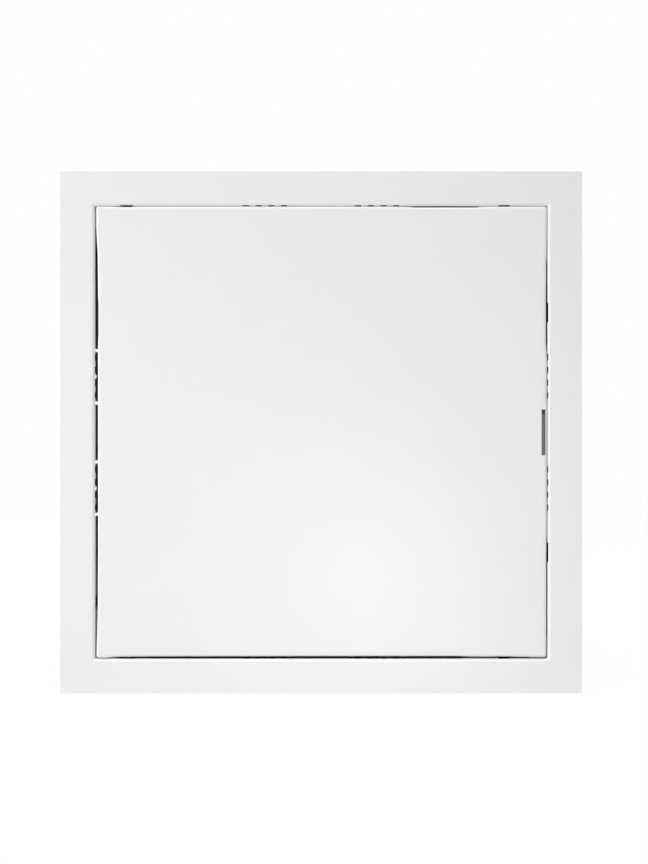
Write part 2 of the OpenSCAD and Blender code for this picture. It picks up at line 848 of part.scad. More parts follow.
// Puts a shape that stands on the door's back at the two studs of the latch
module at_latch_studs()
    for (z = latch_stud_z)
        on_door(latch_stud_x, z)
            children();

module latch_studs()
    color(zinc)
        at_latch_studs() {
            cylinder(r = shoulder_r, h = shoulder_v - door_sheet);
            cylinder(r = stud_r, h = shoulder_v - door_sheet + latch_washer_t + nut_t + stud_out);
        }

module latch_washers()
    color(zinc)
        at_latch_studs()
            translate([0, 0, shoulder_v - door_sheet])
                difference() {
                    cylinder(r = latch_washer_r, h = latch_washer_t);
                    translate([0, 0, -over])
                        cylinder(r = stud_r + nut_fit, h = latch_washer_t + 2 * over);
                }

module latch_nuts()
    color(zinc)
        at_latch_studs()
            nut(shoulder_v - door_sheet + latch_washer_t);

frame_top_rail();
frame_bottom_rail();
frame_hinge_rail();
frame_latch_rail();
seal_tape();
door_seal();
stop_pads();
upper_pivot_bush();
lower_pivot_bush();
bush_retainers();
door_panel();
upper_pivot_bracket();
lower_pivot_bracket();
bracket_studs();
bracket_nuts();
lower_pivot_pin();
upper_pivot_pin();
pin_clip();
spring_washer();
pin_spring();
latch_slider();
tool_insert();
latch_studs();
latch_washers();
latch_nuts();
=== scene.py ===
import json
import math

import bmesh
import bpy
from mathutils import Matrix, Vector


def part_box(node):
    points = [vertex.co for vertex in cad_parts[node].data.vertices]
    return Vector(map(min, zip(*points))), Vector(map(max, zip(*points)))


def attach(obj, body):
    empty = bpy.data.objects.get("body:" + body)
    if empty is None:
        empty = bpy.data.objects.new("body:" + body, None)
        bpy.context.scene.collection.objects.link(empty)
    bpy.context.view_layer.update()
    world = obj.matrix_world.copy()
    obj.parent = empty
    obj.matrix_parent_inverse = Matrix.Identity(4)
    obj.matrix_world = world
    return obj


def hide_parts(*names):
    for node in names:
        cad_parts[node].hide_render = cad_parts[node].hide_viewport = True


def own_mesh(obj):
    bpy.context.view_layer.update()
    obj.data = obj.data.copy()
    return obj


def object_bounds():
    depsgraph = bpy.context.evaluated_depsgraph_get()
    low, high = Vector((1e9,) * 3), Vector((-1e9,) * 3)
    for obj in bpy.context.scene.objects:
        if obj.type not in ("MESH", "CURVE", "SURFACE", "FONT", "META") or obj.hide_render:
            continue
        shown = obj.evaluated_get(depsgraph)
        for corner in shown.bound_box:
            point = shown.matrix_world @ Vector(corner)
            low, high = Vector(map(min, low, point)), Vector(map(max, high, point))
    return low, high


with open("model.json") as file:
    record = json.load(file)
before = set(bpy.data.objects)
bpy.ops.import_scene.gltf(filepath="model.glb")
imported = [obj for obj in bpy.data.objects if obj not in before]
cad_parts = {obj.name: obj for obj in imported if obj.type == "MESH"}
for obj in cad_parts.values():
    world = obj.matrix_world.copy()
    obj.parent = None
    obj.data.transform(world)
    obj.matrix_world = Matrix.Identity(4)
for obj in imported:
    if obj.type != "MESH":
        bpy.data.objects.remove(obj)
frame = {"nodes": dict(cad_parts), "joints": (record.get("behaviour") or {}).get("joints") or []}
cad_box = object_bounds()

bpy.context.scene.view_settings.view_transform = "Standard"


# The frame: four rails folded from 0.8 mm sheet steel, each with a flange and a collar.
# They are mitred, welded flush at the corners and powder coated white as one piece.

class Socket:
    """A shader socket that takes part in Python's arithmetic, and that other nodes are added behind."""

    def __init__(self, socket):
        self.socket = socket
        self.tree = socket.id_data

    def node(self, kind, settings, sockets, output=0):
        """An output of a new node, which gets its settings first and its sockets after."""
        made = self.tree.nodes.new(kind)
        for name, value in settings.items():
            if name == "stops":
                set_stops(made.color_ramp.elements, value)
            else:
                setattr(made, name, value)
        wire(made, sockets)
        return Socket(made.outputs[output])

    def arithmetic(self, operation, *terms):
        """The result of one Math node on sockets and plain numbers."""
        return self.node("ShaderNodeMath", {"operation": operation}, dict(enumerate(terms)))

    def __add__(self, other):
        return self.arithmetic("ADD", self, other)

    def __sub__(self, other):
        return self.arithmetic("SUBTRACT", self, other)

    def __rsub__(self, other):
        return self.arithmetic("SUBTRACT", other, self)

    def __mul__(self, other):
        return self.arithmetic("MULTIPLY", self, other)

    def __neg__(self):
        return 0.0 - self

    def __abs__(self):
        return self.arithmetic("ABSOLUTE", self)

    def or_less(self, other):
        """The smaller of this value and another."""
        return self.arithmetic("MINIMUM", self, other)

    def or_more(self, other):
        """The larger of this value and another."""
        return self.arithmetic("MAXIMUM", self, other)

    __radd__ = __add__
    __rmul__ = __mul__


def set_stops(elements, stops):
    """Gives a colour ramp its stops, each a place from 0 to 1 and a grey."""
    while len(elements) < len(stops):
        elements.new(0.5)
    for element, (at, grey) in zip(elements, stops):
        element.position = at
        element.color = (grey, grey, grey, 1)


def wire(node, sockets):
    """Sets a node's sockets to plain values, or links them to other sockets."""
    for name, value in sockets.items():
        if isinstance(value, Socket):
            value.tree.links.new(value.socket, node.inputs[name])
        else:
            node.inputs[name].default_value = value


def new_finish(name):
    """A new material, with its shader and the place on the piece in metres."""
    material = bpy.data.materials.new(name)
    material.use_nodes = True
    nodes = material.node_tree.nodes
    return material, nodes["Principled BSDF"], Socket(nodes.new("ShaderNodeTexCoord").outputs["Object"])


def noise(place, scale, detail, rough):
    """Cloudy values from 0 to 1 over the piece."""
    return place.node("ShaderNodeTexNoise", {}, {
        "Vector": place, "Scale": scale, "Detail": detail, "Roughness": rough})


# The Mix node keeps sockets for numbers, vectors and colours; these are the ones for colours.
MIX_FIRST = 6
MIX_SECOND = 7
MIX_RESULT = 2


def blend_colours(share, first, second):
    """A colour between two others, plain ones or sockets, by a share from 0 to 1."""
    sockets = {"Factor": share}
    for name, colour in ((MIX_FIRST, first), (MIX_SECOND, second)):
        sockets[name] = colour if isinstance(colour, Socket) else (*colour, 1)
    return share.node("ShaderNodeMix", {"data_type": "RGBA"}, sockets, MIX_RESULT)


def bump(height, distance, strength):
    """A normal from a height that runs from 0 to 1."""
    return height.node("ShaderNodeBump", {}, {
        "Height": height, "Distance": distance, "Strength": strength})


def smooth_step(value, start, end):
    """A share that rises smoothly from 0 to 1 between two values."""
    return value.node("ShaderNodeMapRange", {"interpolation_type": "SMOOTHSTEP"}, {
        "Value": value, "From Min": start, "From Max": end})


def axes(vector):
    """The three parts of a vector, each a socket."""
    parts = vector.node("ShaderNodeSeparateXYZ", {}, {"Vector": vector}).socket.node.outputs
    return [Socket(part) for part in parts]


# The coat thins out at the end of the bend; the bare sheet past it is painted shade in the gaps. In the
# corners and along parts of the four walls it goes deeper, by shares of COAT_DEEPER that are given at a few
# places along each wall of the opening, in x or in z: painted light where a gap's wall should look lit,
# painted shade where the coat stops short.
COAT_ENDS = 0.0005
COAT_FADE = 0.0010
COAT_DRIFT = 0.0010
COAT_DEEPER = 0.009
CORNER_STARTS = 0.132
CORNER_ENDS = 0.147
WALL_STARTS = 0.1490
WALL_ENDS = 0.1500
WALL_REACHES = 0.151
COAT_REACH_GAP_LIGHT = {
    "left": ((-0.151, 1.0), (-0.130, 0.91), (-0.108, 0.56), (-0.080, 0.39), (0.0, 0.25),
             (0.090, 0.11), (0.151, 0.11)),
    "right": ((-0.151, 0.0), (-0.072, 0.0), (-0.054, 1.0), (0.050, 1.0), (0.060, 0.0),
              (0.112, 0.0), (0.132, 1.0)),
    "top": ((-0.151, 1.0), (0.056, 1.0), (0.062, 0.0), (0.104, 0.0), (0.110, 1.0)),
    "bottom": ((-0.151, 0.0), (0.092, 0.0), (0.100, 0.3), (0.151, 0.3)),
}


def along_wall(value, points):
    """A share that follows a few points along a wall of the opening."""
    stops = [((at + WALL_REACHES) / (2 * WALL_REACHES), share) for at, share in points]
    place = (value + WALL_REACHES) * (1 / (2 * WALL_REACHES))
    return value.node("ShaderNodeValToRGB", {"stops": stops}, {"Fac": place})


def gap_shade_past_the_coat(place, across, depth, up):
    """Share of bare sheet on the frame, painted shade in the gaps: none on the coat, all of it past the
    coat's end.
    """
    reach = smooth_step(abs(across).or_less(abs(up)), CORNER_STARTS, CORNER_ENDS)
    for wall, outward, along in (("left", -across, up), ("right", across, up),
                                 ("top", up, across), ("bottom", -up, across)):
        on_wall = smooth_step(outward, WALL_STARTS, WALL_ENDS)
        reach = reach.or_more(on_wall * along_wall(along, COAT_REACH_GAP_LIGHT[wall]))
    drift = noise(place, scale=350, detail=3.0, rough=0.6) - 0.5
    return smooth_step(depth + COAT_DRIFT * drift - COAT_DEEPER * reach, COAT_ENDS, COAT_ENDS + COAT_FADE)


# From the first value on, and fully from the second, a face counts as looking away from the panel's middle
# or towards it. They are its distance from the middle in metres, times how squarely it faces outward.
# The other two do the same for a face that looks to the rear.
AWAY_STARTS = 0.02
AWAY_ENDS = 0.06
REAR_STARTS = 0.3
REAR_ENDS = 0.6
ENAMEL = ((0.835, 0.835, 0.835), (0.848, 0.848, 0.848))
# The bare sheet's colours run from near black, painted shade for faces that look towards the panel's middle,
# to the grey of bare phosphate on faces that look outward or to the rear.
SHADE_TO_PHOSPHATE = ((0.010, 0.0105, 0.011), (0.150, 0.153, 0.155))


def powder_coat(name, is_tray=False):
    """Satin white powder coat on phosphated sheet, whose back stays bare. On the frame the coat thins out
    down the walls of the opening. On a tray it covers the face and the outside of the folded edges. Bare
    faces that look towards the panel's middle are painted near black, as shade in the gaps."""
    material, shader, place = new_finish(name)
    across, depth, up = axes(place)
    facing_across, facing_rear, facing_up = axes(Socket(place.socket.node.outputs["Normal"]))
    away = across * facing_across + up * facing_up
    behind = facing_rear.node("ShaderNodeMapRange", {}, {
        "Value": facing_rear, "From Min": REAR_STARTS, "From Max": REAR_ENDS})
    if is_tray:
        uncoated_or_shaded = smooth_step(-away, AWAY_STARTS, AWAY_ENDS)
    else:
        uncoated_or_shaded = gap_shade_past_the_coat(place, across, depth, up)
    bare = uncoated_or_shaded.or_more(behind)
    patches = noise(place, scale=14, detail=2.0, rough=0.5)
    cells = place.node("ShaderNodeTexVoronoi", {}, {"Vector": place, "Scale": 1600}, "Color")
    crystals = cells.node("ShaderNodeSeparateColor", {}, {"Color": cells})
    # Painted shade: bare faces that look towards the panel's middle get the near-black end, the others the
    # phosphate's grey with its crystals and patches.
    clear_of_painted_shade = behind.or_more(smooth_step(away, AWAY_STARTS, AWAY_ENDS))
    phosphate_grain_and_shade = 0.03 + (0.4 + 0.2 * crystals + 0.3 * patches) * clear_of_painted_shade
    phosphate = blend_colours(phosphate_grain_and_shade, *SHADE_TO_PHOSPHATE)
    enamel = blend_colours(patches, *ENAMEL)
    peel = noise(place, scale=900, detail=1.5, rough=0.4)
    wire(shader, {
        "Base Color": blend_colours(bare, enamel, phosphate),
        "Roughness": 0.36 + 0.08 * patches + 0.5 * bare,
        "Normal": bump(peel, distance=0.00003, strength=0.35),
        "Specular IOR Level": 0.55})
    return material


def dress(node, material):
    """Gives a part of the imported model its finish."""
    materials = frame["nodes"][node].data.materials
    materials.clear()
    materials.append(material)


white_coat = powder_coat("white_powder_coat")
for rail in ("frame_top_rail", "frame_bottom_rail", "frame_hinge_rail", "frame_latch_rail"):
    dress(rail, white_coat)


# The sealing tape: black self-adhesive foam round the outside of the collar.
# It closes the punched slots from behind, and its black stands in for the shade behind them, so they read
# black from the front.

def soft_black(name, shade, rough, grain, shine):
    """Black foam, rubber or nylon with a fine grain."""
    material, shader, place = new_finish(name)
    pores = noise(place, grain, detail=3.0, rough=0.6)
    wire(shader, {
        "Base Color": blend_colours(pores, (shade * 0.7,) * 3, (shade * 1.3,) * 3),
        "Roughness": rough - 0.1 + 0.2 * pores,
        "Normal": bump(pores, distance=0.0002, strength=0.4),
        "Specular IOR Level": shine})
    return material


black_foam = soft_black("black_foam", shade=0.015, rough=0.9, grain=2500, shine=0.1)
dress("seal_tape", black_foam)


# The door seal: the same foam in a narrower strip on the inside of the collar, just behind the door's edge.
# It is cut short at the keepers and the stops. Its black stands in for the shade deep in the gaps.

dress("door_seal", black_foam)


# The door stops' pads: two small blocks of black rubber that the shut door rests on.
# They are stuck to the stops with their own glue.

dress("stop_pads", soft_black("black_rubber", shade=0.02, rough=0.65, grain=1200, shine=0.4))


# The pivot bushes: flanged bushes moulded in black nylon, pushed through holes in the collar.
# A push-on ring of dark spring steel holds each from outside.

black_nylon = soft_black("black_nylon", shade=0.022, rough=0.42, grain=700, shine=0.5)
for bush in ("upper_pivot_bush", "lower_pivot_bush"):
    dress(bush, black_nylon)


def plain_metal(name, dark, light, rough, grain):
    """Bare or plated metal, a little cloudy, with fine marks from rolling or drawing."""
    material, shader, place = new_finish(name)
    clouds = noise(place, grain, detail=3.0, rough=0.55)
    wire(shader, {
        "Base Color": blend_colours(clouds, dark, light),
        "Metallic": 1.0,
        "Roughness": rough - 0.08 + 0.16 * clouds,
        "Normal": bump(clouds, distance=0.00002, strength=0.25)})
    return material


spring_steel = plain_metal(
    "dark_spring_steel", (0.10, 0.10, 0.105), (0.20, 0.20, 0.205), rough=0.38, grain=400)
dress("bush_retainers", spring_steel)


# The door: one tray of 0.8 mm sheet steel, folded on four sides and welded at the corners.
# Its folded edges aren't quite straight, so the gap round it is wider in some places than in others.
# A tool reaches the latch through a slot by the right edge, and the pins pass through holes in the folds.

door_low, door_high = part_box("door_panel")
DOOR_SHEET = 0.0008
DOOR_BEND = 0.0016
DOOR_CORNER = 0.0012
CORNER_TURNS = (0.25, 0.5, 0.75)
OUTER_BEND_STEPS = 8
INNER_BEND_STEPS = 6
RIM_BREAK = 0.0001
EDGE_STEP = 0.003
BOW_REACH = 0.012
FLAT_RINGS = (0.02, BOW_REACH, 0.006, 0.003)
# How far each edge bows out, or in where the value is below 0, at a few places along it, in x or in z.
EDGE_BOW = {
    "top": ((-0.150, 0.00042), (-0.139, 0.00042), (-0.135, 0.00014), (-0.125, 0.00014), (-0.121, 0.00040),
            (0.052, 0.00040), (0.063, -0.00020), (0.102, -0.00020), (0.112, 0.00038), (0.150, 0.00042)),
    "right": ((-0.150, 0.00005), (-0.090, 0.00005), (-0.072, 0.00025), (-0.054, 0.00045), (0.050, 0.00045),
              (0.058, -0.00012), (0.085, -0.00016), (0.105, -0.00003), (0.132, 0.00040), (0.150, 0.00055)),
    "bottom": ((-0.150, 0.00105), (-0.144, 0.00095), (-0.137, 0.00020), (-0.125, 0.00010), (-0.112, -0.00004),
               (-0.050, -0.00011), (-0.010, -0.00020), (0.092, -0.00026), (0.098, 0.00004), (0.112, 0.00012),
               (0.1165, 0.0), (0.1265, 0.0), (0.131, 0.00016), (0.150, 0.00050)),
    "left": ((-0.150, 0.00095), (-0.144, 0.00080), (-0.130, 0.00035), (-0.112, 0.00005), (-0.080, -0.00010),
             (0.055, -0.00005), (0.066, -0.00040), (0.084, -0.00040), (0.094, -0.00010), (0.115, 0.00010),
             (0.139, 0.00105), (0.150, 0.00110)),
}


def eased(points, at):
    """Value of a smooth line through a few points."""
    for (start, low), (end, high) in zip(points, points[1:]):
        if at <= end:
            share = max(0.0, (at - start) / (end - start))
            return low + (high - low) * share * share * (3 - 2 * share)
    return points[-1][1]


def door_stations():
    """Stations round the door's edge, clockwise: the side, the place in x and z, the way out of the door,
    and, in the turn of a corner, the ways out of the two sides that meet there."""
    west, east, south, north = door_low.x, door_high.x, door_low.z, door_high.z
    sides = (
        ("top", (west, north), (east, north), (0, 1)),
        ("right", (east, north), (east, south), (1, 0)),
        ("bottom", (east, south), (west, south), (0, -1)),
        ("left", (west, south), (west, north), (-1, 0)))
    for index, (side, start, end, out) in enumerate(sides):
        length = math.dist(start, end)
        along = ((end[0] - start[0]) / length, (end[1] - start[1]) / length)
        straight = length - 2 * DOOR_CORNER
        steps = round(straight / EDGE_STEP)
        for step in range(steps + 1):
            gone = DOOR_CORNER + straight * step / steps
            yield side, (start[0] + along[0] * gone, start[1] + along[1] * gone), out, None
        next_out = sides[(index + 1) % len(sides)][3]
        for turn in CORNER_TURNS:
            angle = turn * math.pi / 2
            aim = (out[0] * math.cos(angle) + next_out[0] * math.sin(angle),
                   out[1] * math.cos(angle) + next_out[1] * math.sin(angle))
            yield side, end, aim, (out, next_out)


def quarter_bend(inset, radius, steps):
    """A bend from the face round to the folded edge, as points so far in and so deep."""
    turns = [step / steps * math.pi / 2 for step in range(steps + 1)]
    return [(inset + radius * (1 - math.sin(turn)), inset + radius * (1 - math.cos(turn))) for turn in turns]


def door_section():
    """The tray's section, from the face round to its back: how far in from the edge, and how deep."""
    depth = door_high.y - door_low.y
    face = [(inset, 0.0) for inset in FLAT_RINGS]
    rim = [(0.0, depth / 2), (0.0, depth - RIM_BREAK), (RIM_BREAK, depth),
           (DOOR_SHEET - RIM_BREAK, depth), (DOOR_SHEET, depth - RIM_BREAK), (DOOR_SHEET, depth / 2)]
    back = [(inset, DOOR_SHEET) for inset in reversed(FLAT_RINGS)]
    outer_bend = quarter_bend(0.0, DOOR_BEND, OUTER_BEND_STEPS)
    inner_bend = quarter_bend(DOOR_SHEET, DOOR_BEND - DOOR_SHEET, INNER_BEND_STEPS)
    return face + outer_bend + rim + inner_bend[::-1] + back


def door_point(station, inset, depth):
    """Place of one point of the section at one station of the edge."""
    side, (x, z), out, corner = station
    bow = eased(EDGE_BOW[side], x if side in ("top", "bottom") else z) * max(0.0, 1 - inset / BOW_REACH)
    y = door_low.y + depth
    if corner is None:
        middle = (door_low + door_high) / 2
        shrink = 1 - max(0.0, inset - DOOR_CORNER) * 2 / (door_high.x - door_low.x - 2 * DOOR_CORNER)
        if out[0]:
            z = middle.z + (z - middle.z) * shrink
        else:
            x = middle.x + (x - middle.x) * shrink
        push = bow - inset
        return Vector((x + out[0] * push, y, z + out[1] * push))
    first, second = corner
    middle_x = x - (first[0] + second[0]) * max(DOOR_CORNER, inset)
    middle_z = z - (first[1] + second[1]) * max(DOOR_CORNER, inset)
    radius = max(0.0, DOOR_CORNER - inset) + bow
    return Vector((middle_x + out[0] * radius, y, middle_z + out[1] * radius))


def ring_skin(made, rings, capped):
    """Faces between closed rings of points. Both ends are capped, or else the last ring joins the first."""
    rows = [[made.verts.new(point) for point in ring] for ring in rings]
    pairs = list(zip(rows, rows[1:]))
    if not capped:
        pairs.append((rows[-1], rows[0]))
    for near, far in pairs:
        for index in range(len(near)):
            following = (index + 1) % len(near)
            made.faces.new((near[index], near[following], far[following], far[index]))
    if capped:
        made.faces.new(rows[0])
        made.faces.new(rows[-1])


def mesh_of(made, name, crisp=40):
    """Closes a bmesh as a mesh with smooth faces, crisp at edges sharper than an angle in degrees."""
    bmesh.ops.remove_doubles(made, verts=made.verts, dist=1e-7)
    bmesh.ops.recalc_face_normals(made, faces=made.faces)
    for face in made.faces:
        face.smooth = True
    for edge in made.edges:
        edge.smooth = len(edge.link_faces) == 2 and edge.calc_face_angle(0) < math.radians(crisp)
    mesh = bpy.data.meshes.new(name)
    made.to_mesh(mesh)
    made.free()
    return mesh


def new_object(name, data):
    """Puts a mesh, a lamp or a camera into the scene."""
    added = bpy.data.objects.new(name, data)
    bpy.context.scene.collection.objects.link(added)
    return added


def new_piece(name, mesh, material):
    """Puts a finished mesh into the scene as a piece of the object."""
    mesh.materials.append(material)
    return new_object(name, mesh)


def cut(piece, cutters):
    """Cuts other shapes out of a piece for good, and takes them away."""
    for cutter in cutters:
        step = piece.modifiers.new("cut", "BOOLEAN")
        step.operation = "DIFFERENCE"
        step.solver = "EXACT"
        step.object = cutter
    bpy.context.view_layer.update()
    seen = piece.evaluated_get(bpy.context.evaluated_depsgraph_get())
    made = bmesh.new()
    made.from_mesh(bpy.data.meshes.new_from_object(seen))
    piece.modifiers.clear()
    finish = piece.data.materials[0]
    piece.data = mesh_of(made, piece.name)
    piece.data.materials.append(finish)
    for cutter in cutters:
        bpy.data.objects.remove(cutter)


made = bmesh.new()
stations = list(door_stations())
rings = [[door_point(station, inset, depth) for station in stations] for inset, depth in door_section()]
ring_skin(made, rings, capped=True)
tray_coat = powder_coat("white_powder_coat_tray", is_tray=True)
door = new_piece("door_sheet", mesh_of(made, "door_sheet"), tray_coat)

SLOT_LAND = 0.0008
SLOT_WIDTH = 0.0025
SLOT_HALF = 0.0153
CUT_FROM = -0.01
slot_low = Vector((door_high.x - SLOT_LAND - SLOT_WIDTH, CUT_FROM, -SLOT_HALF))
slot_high = Vector((door_high.x - SLOT_LAND, DOOR_SHEET, SLOT_HALF))
made = bmesh.new()
bmesh.ops.create_cube(made, size=1)
for vert in made.verts:
    vert.co = (slot_low + slot_high) / 2 + vert.co * (slot_high - slot_low)
latch_slot = new_object("latch_slot", mesh_of(made, "latch_slot"))

joints = {joint["name"]: joint for joint in frame["joints"]}
pivot_x, pivot_y = joints["door_hinge"]["pos_m"][:2]
PIN_HOLE = 0.00265
PIN_HOLE_SIDES = 48
CUT_LENGTH = 0.4
made = bmesh.new()
bmesh.ops.create_cone(made, segments=PIN_HOLE_SIDES, radius1=PIN_HOLE, radius2=PIN_HOLE, depth=CUT_LENGTH,
                      cap_ends=True)
for vert in made.verts:
    vert.co += Vector((pivot_x, pivot_y, 0))
pin_holes = new_object("pin_holes", mesh_of(made, "pin_holes"))

cut(door, [latch_slot, pin_holes])
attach(door, "door")
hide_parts("door_panel")


# The pivot brackets: two angles pressed from zinc-plated steel, with a hole for the pin in the shelf.
# Each stands on the door's back, where two studs and nuts hold its foot.

zinc = plain_metal("dull_zinc", (0.42, 0.43, 0.44), (0.58, 0.59, 0.60), rough=0.42, grain=160)
for bracket in ("upper_pivot_bracket", "lower_pivot_bracket"):
    dress(bracket, zinc)


# The bracket studs: coppered weld studs with a rolled M4 thread and a chamfered point.
# They are welded to the door's back, so that nothing shows on its face.

THREAD_PITCH = 0.0007
THREAD_HEIGHT = 0.00035
THREAD_SIDES = 24
RINGS_PER_PITCH = 6
STUD_POINT = 0.0005


def solids(node):
    """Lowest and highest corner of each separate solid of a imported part, in a fixed order."""
    made = bmesh.new()
    made.from_mesh(frame["nodes"][node].data)
    bmesh.ops.remove_doubles(made, verts=made.verts, dist=1e-6)
    left = set(made.verts)
    boxes = []
    while left:
        found = []
        reached = [left.pop()]
        while reached:
            vert = reached.pop()
            found.append(vert.co.copy())
            for other in (edge.other_vert(vert) for edge in vert.link_edges):
                if other in left:
                    left.remove(other)
                    reached.append(other)
        boxes.append((Vector([min(co[axis] for co in found) for axis in range(3)]),
                      Vector([max(co[axis] for co in found) for axis in range(3)])))
    made.free()
    return sorted(boxes, key=lambda box: (round(box[0].z, 4), round(box[0].x, 4)))


def circle(x, y, z, radii):
    """Points round an axis along Y at even turns, each with its own radius."""
    points = []
    for index, radius in enumerate(radii):
        angle = 2 * math.pi * index / len(radii)
        points.append(Vector((x + radius * math.cos(angle), y, z + radius * math.sin(angle))))
    return points


def thread_depth(rise, turn):
    """How far a thread lies below its crest at a rise along the stud and a share of a turn."""
    phase = (rise / THREAD_PITCH - turn) % 1
    return THREAD_HEIGHT * abs(2 * phase - 1)


def threaded_stud(made, x, z, start, end, radius):
    """A rolled thread along Y with a chamfered point."""
    steps = round((end - start) / THREAD_PITCH * RINGS_PER_PITCH)
    rings = []
    for step in range(steps + 1):
        y = start + (end - start) * step / steps
        crest = radius - max(0.0, STUD_POINT - (end - y))
        radii = [crest - thread_depth(y - start, side / THREAD_SIDES) for side in range(THREAD_SIDES)]
        rings.append(circle(x, y, z, radii))
    ring_skin(made, rings, capped=True)


coppered = plain_metal("coppered_studs", (0.50, 0.38, 0.28), (0.62, 0.52, 0.42), rough=0.35, grain=300)
made = bmesh.new()
for low, high in solids("bracket_studs"):
    threaded_stud(made, (low.x + high.x) / 2, (low.z + high.z) / 2, low.y, high.y, (high.x - low.x) / 2)
studs = new_piece("bracket_stud_threads", mesh_of(made, "bracket_stud_threads", crisp=30), coppered)
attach(studs, "door")
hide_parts("bracket_studs")


# The bracket nuts: plain hexagon nuts of zinc-plated steel with chamfered corners.
# They are screwed onto the studs and hold the feet of the brackets.

NUT_CORNERS = 6
NUT_SIDES = 72
NUT_FLATS = 0.007
NUT_FACE = 0.95 * NUT_FLATS / 2
NUT_CHAMFER = 30
NUT_BORE = 0.00203
NUT_LEAD = 0.0003


def hexagon_nut(made, x, z, start, end):
    """A hexagon nut along Y: chamfered on both faces, with a lead-in to its bore."""
    flats = [side / NUT_SIDES * NUT_CORNERS % 1 - 0.5 for side in range(NUT_SIDES)]
    outline = [NUT_FLATS / 2 / math.cos(flat * 2 * math.pi / NUT_CORNERS) for flat in flats]
    halves = []
    for at, inward in ((start, 1), (end, -1)):
        edge = circle(x, at, z, outline)
        for point, radius in zip(edge, outline):
            point.y += inward * (radius - NUT_FACE) * math.tan(math.radians(NUT_CHAMFER))
        halves.append([
            circle(x, at + inward * NUT_LEAD, z, [NUT_BORE] * NUT_SIDES),
            circle(x, at, z, [NUT_BORE + NUT_LEAD] * NUT_SIDES),
            circle(x, at, z, [NUT_FACE] * NUT_SIDES),
            edge])
    ring_skin(made, halves[0] + halves[1][::-1], capped=False)


def nut_set(name, node):
    """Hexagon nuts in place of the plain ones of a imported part."""
    made = bmesh.new()
    for low, high in solids(node):
        hexagon_nut(made, (low.x + high.x) / 2, (low.z + high.z) / 2, low.y, high.y)
    nuts = new_piece(name, mesh_of(made, name, crisp=20), zinc)
    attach(nuts, "door")
    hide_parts(node)


nut_set("bracket_hex_nuts", "bracket_nuts")


# The lower pivot pin: a headed pin of drawn steel, bright zinc plated.
# It is dropped through the lower bracket and turns in the bush below.

bright_pin = plain_metal("bright_pin", (0.55, 0.55, 0.55), (0.68, 0.68, 0.68), rough=0.28, grain=220)
dress("lower_pivot_pin", bright_pin)


# The upper pivot pin: the same rod, sprung, and bent below its bracket to a pull handle.
# An open clip of spring steel in its groove holds a plated washer against the spring.

dress("upper_pivot_pin", bright_pin)
dress("pin_clip", spring_steel)
dress("spring_washer", zinc)


# The pin spring: eight turns of oil-darkened wire with closed ends, between bracket and washer.
# On the real pin it shortens as the pin is drawn; here it rides with the door at its full length.

spring_low, spring_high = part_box("pin_spring")
SPRING_WIRE = 0.0008
SPRING_TURNS = 8
TURN_STEPS = 36
WIRE_SIDES = 12
spring_len = spring_high.z - spring_low.z
coil_radius = (spring_high.x - spring_low.x - SPRING_WIRE) / 2
coil_x = (spring_low.x + spring_high.x) / 2
coil_y = pivot_y
open_pitch = (spring_len - 3 * SPRING_WIRE) / (SPRING_TURNS - 2)


def coil_rise(turn):
    """Height of the wire above the spring's end after a number of turns; both end turns are closed."""
    first = min(turn, 1) * SPRING_WIRE
    between = max(0, min(turn, SPRING_TURNS - 1) - 1) * open_pitch
    last = max(0, turn - SPRING_TURNS + 1) * SPRING_WIRE
    return SPRING_WIRE / 2 + first + between + last


made = bmesh.new()
rings = []
upward = Vector((0, 0, 1))
for step in range(SPRING_TURNS * TURN_STEPS + 1):
    turn = step / TURN_STEPS
    out = Vector((math.cos(2 * math.pi * turn), math.sin(2 * math.pi * turn), 0))
    middle = Vector((coil_x, coil_y, spring_low.z + coil_rise(turn))) + coil_radius * out
    ring = []
    for side in range(WIRE_SIDES):
        angle = 2 * math.pi * side / WIRE_SIDES
        ring.append(middle + SPRING_WIRE / 2 * (math.cos(angle) * out + math.sin(angle) * upward))
    rings.append(ring)
ring_skin(made, rings, capped=True)
spring = new_piece("pin_coil", mesh_of(made, "pin_coil"), spring_steel)
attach(spring, "door")
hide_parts("pin_spring")
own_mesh(spring)


# The latch: a strip of plated steel with two bent arms and hooks, which slides behind the door's edge. Its
# plating is painted much darker than the other zinc, as painted shade for the strip seen in the slot.
# A black insert in its notch, at the top of the door's slot, takes the tool; its black stands in for the
# shade at the slot's top end.

latch_zinc_shaded = plain_metal("latch_zinc_shaded", (0.145, 0.145, 0.148), (0.20, 0.20, 0.203), rough=0.5, grain=160)
dress("latch_slider", latch_zinc_shaded)
dress("tool_insert", black_nylon)


# The latch studs: coppered weld studs with a smooth shoulder and a threaded end.
# They are welded to the door's back, and the strip's slots run on the shoulders.

SHOULDER = 0.0028
SHOULDER_SIDES = 48
SHOULDER_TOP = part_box("latch_washers")[0].y
THREAD_RADIUS = 0.002
made = bmesh.new()
for low, high in solids("latch_studs"):
    middle = (low + high) / 2
    shoulder = [circle(middle.x, y, middle.z, [SHOULDER] * SHOULDER_SIDES) for y in (low.y, SHOULDER_TOP)]
    ring_skin(made, shoulder, capped=True)
    threaded_stud(made, middle.x, middle.z, SHOULDER_TOP, high.y, THREAD_RADIUS)
latch_studs = new_piece("latch_stud_threads", mesh_of(made, "latch_stud_threads", crisp=30), coppered)
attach(latch_studs, "door")
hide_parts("latch_studs")


# The latch washers and nuts: plated washers over the strip, and hexagon nuts on the studs.
# The nuts clamp the washers to the shoulders, so the strip stays free to slide under them.

dress("latch_washers", zinc)
nut_set("latch_hex_nuts", "latch_nuts")


# The floor: a plain pale sheet that the panel stands on.
# It shows white to the camera, except for what shadow falls on it.

FLOOR_REACH = 3.0
FLOOR_DROP = 0.0005
FLOOR_GLOW = 1.02
FLOOR_WHITENESS = 0.96


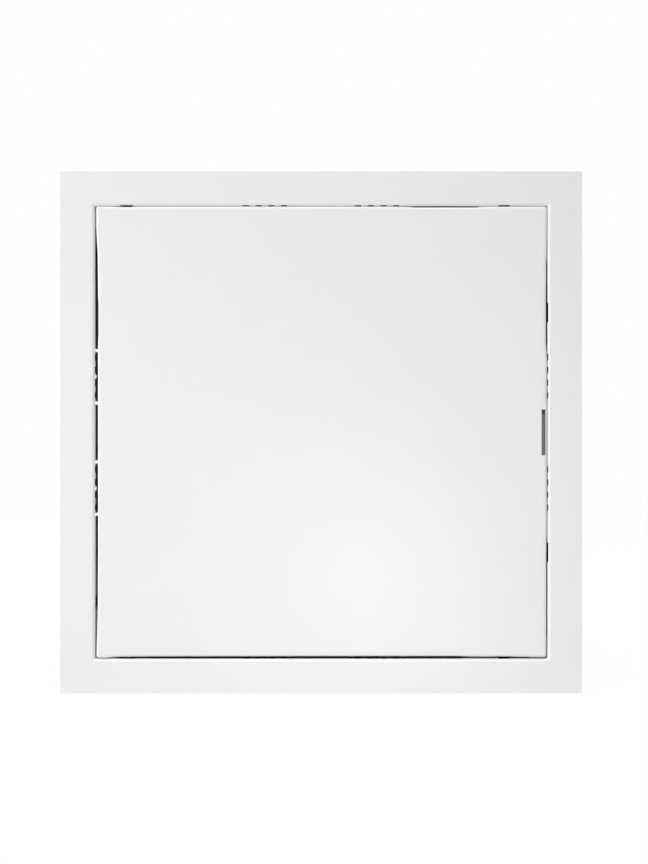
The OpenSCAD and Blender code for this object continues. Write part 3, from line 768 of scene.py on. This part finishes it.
def studio_floor(name):
    """Pale floor that shows almost white to the camera."""
    material, shader, place = new_finish(name)
    wire(shader, {"Base Color": (0.62, 0.62, 0.62, 1), "Roughness": 0.9})
    seen = place.node("ShaderNodeLightPath", {}, {}, "Is Camera Ray")
    white = place.node("ShaderNodeEmission", {}, {"Color": (1, 1, 1, 1), "Strength": FLOOR_GLOW})
    both = place.node("ShaderNodeMixShader", {}, {
        0: seen * FLOOR_WHITENESS, 1: Socket(shader.outputs["BSDF"]), 2: white})
    wire(material.node_tree.nodes["Material Output"], {"Surface": both})
    return material


made = bmesh.new()
bmesh.ops.create_grid(made, x_segments=1, y_segments=1, size=FLOOR_REACH)
for vert in made.verts:
    vert.co.z = cad_box[0].z - FLOOR_DROP
floor = new_piece("studio_floor", mesh_of(made, "studio_floor"), studio_floor("pale_floor"))


# The studio: a white surround and five square soft boxes, fixed round the panel.
# Two broad ones at the left and overhead light the face, and a small one its lower edge.
# The other two light the back and the right side.

SURROUND_LIGHT = 0.20
world = bpy.data.worlds.new("white_surround")
bpy.context.scene.world = world
world.use_nodes = True
surround = world.node_tree.nodes["Background"]
rays = world.node_tree.nodes.new("ShaderNodeLightPath").outputs
shown = Socket(rays["Is Camera Ray"]) + Socket(rays["Is Glossy Ray"]) + Socket(rays["Is Transmission Ray"])
wire(surround, {
    "Color": (1, 1, 1, 1),
    "Strength": SURROUND_LIGHT + (1 - SURROUND_LIGHT) * shown.or_less(1.0)})


def lamp(name, at, aim, size, power):
    """A square soft box that looks at a point."""
    light = bpy.data.lights.new(name, "AREA")
    light.shape = "SQUARE"
    light.size = size
    light.energy = power
    soft_box = new_object(name, light)
    soft_box.location = at
    soft_box.rotation_mode = "QUATERNION"
    soft_box.rotation_quaternion = (Vector(aim) - Vector(at)).to_track_quat("-Z", "Y")


lamp("left_soft_box", at=(-1.6, -0.9, 0.4), aim=(0, 0, -0.05), size=1.0, power=19)
lamp("top_soft_box", at=(0.0, -1.15, 3.05), aim=(0, 0, -0.05), size=1.4, power=58)
lamp("low_soft_box", at=(0.05, -0.45, -0.144), aim=(0, 0, -0.15), size=0.06, power=0.36)
lamp("rear_soft_box", at=(-0.9, 1.6, 0.3), aim=(0, 0, 0), size=1.2, power=15)
lamp("right_soft_box", at=(1.7, 0.4, 0.6), aim=(0, 0, 0), size=0.6, power=9)


# The camera: level, and straight in front of the panel.
# Its place and its lens put the panel's middle and width at the photograph's pixels.

FRAME_PIXELS = (648, 864)
PANEL_MIDDLE = (321.1, 432.4)
PIXEL = 0.0006667
CAMERA_AWAY = 0.85
SENSOR = 36
camera_data = bpy.data.cameras.new("camera")
camera_data.sensor_width = SENSOR
camera_data.lens = SENSOR * CAMERA_AWAY / (FRAME_PIXELS[1] * PIXEL)
camera = new_object("camera", camera_data)
camera.location = ((FRAME_PIXELS[0] / 2 - PANEL_MIDDLE[0]) * PIXEL, cad_box[0].y - CAMERA_AWAY,
                   (PANEL_MIDDLE[1] - FRAME_PIXELS[1] / 2) * PIXEL)
camera.rotation_euler = (math.radians(90), 0, 0)
bpy.context.scene.camera = camera
